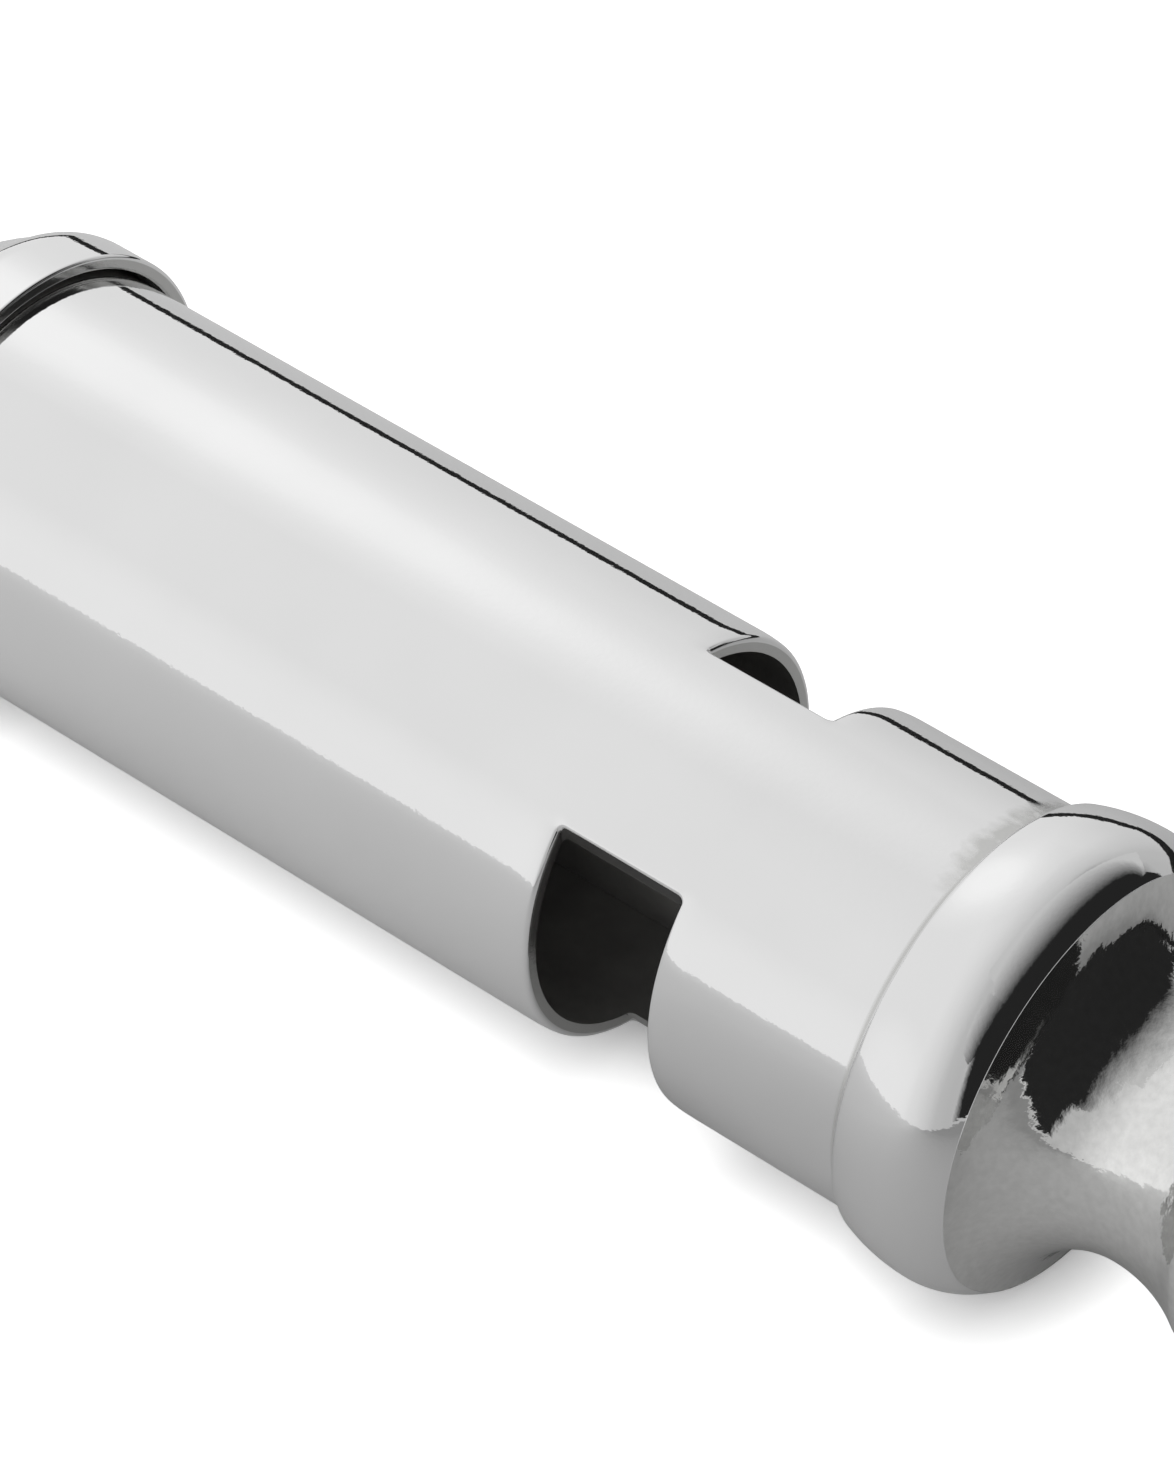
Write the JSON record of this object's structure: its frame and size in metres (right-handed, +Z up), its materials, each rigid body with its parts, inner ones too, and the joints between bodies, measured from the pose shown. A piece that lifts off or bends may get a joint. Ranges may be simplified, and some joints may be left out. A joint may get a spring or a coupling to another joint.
{
  "type": "tube whistle",
  "caption": "Plated metal tube whistle with opposite sound windows, a beaded and flared mouthpiece, a domed end cap and a loop with a swinging wire ring for a lanyard.",
  "frame": {"origin": "centre of the object's footprint, on the surface it lies on", "axes": "+X along the whistle's axis towards the mouthpiece, +Z up as the whistle lies on its side"},
  "size_m": [0.0685, 0.014, 0.0141],
  "materials": {
    "polished_nickel": "bright polished nickel plate with faint buffing waviness and specks",
    "ring_nickel": "nickel-plated drawn wire, slightly less polished",
    "inner_brass": "darkened unpolished brass, as inside a soldered tube"
  },
  "bodies": {
    "whistle": {"barrel": "polished_nickel", "mouthpiece": "polished_nickel", "end_cap": "polished_nickel", "suspension_loop": "polished_nickel", "near_fipple_block": "inner_brass", "far_fipple_block": "inner_brass", "chamber_divider": "inner_brass", "long_chamber_stop": "inner_brass", "short_chamber_stop": "inner_brass"},
    "ring": {"suspension_ring": "ring_nickel"}
  },
  "joints": [
    {"name": "ring_swing", "type": "hinge", "parent": "whistle", "child": "ring", "pos_m": [-0.02322, 0, 0.00609], "axis": [0, 1, 0], "range_deg": [-112, 158]}
  ]
}
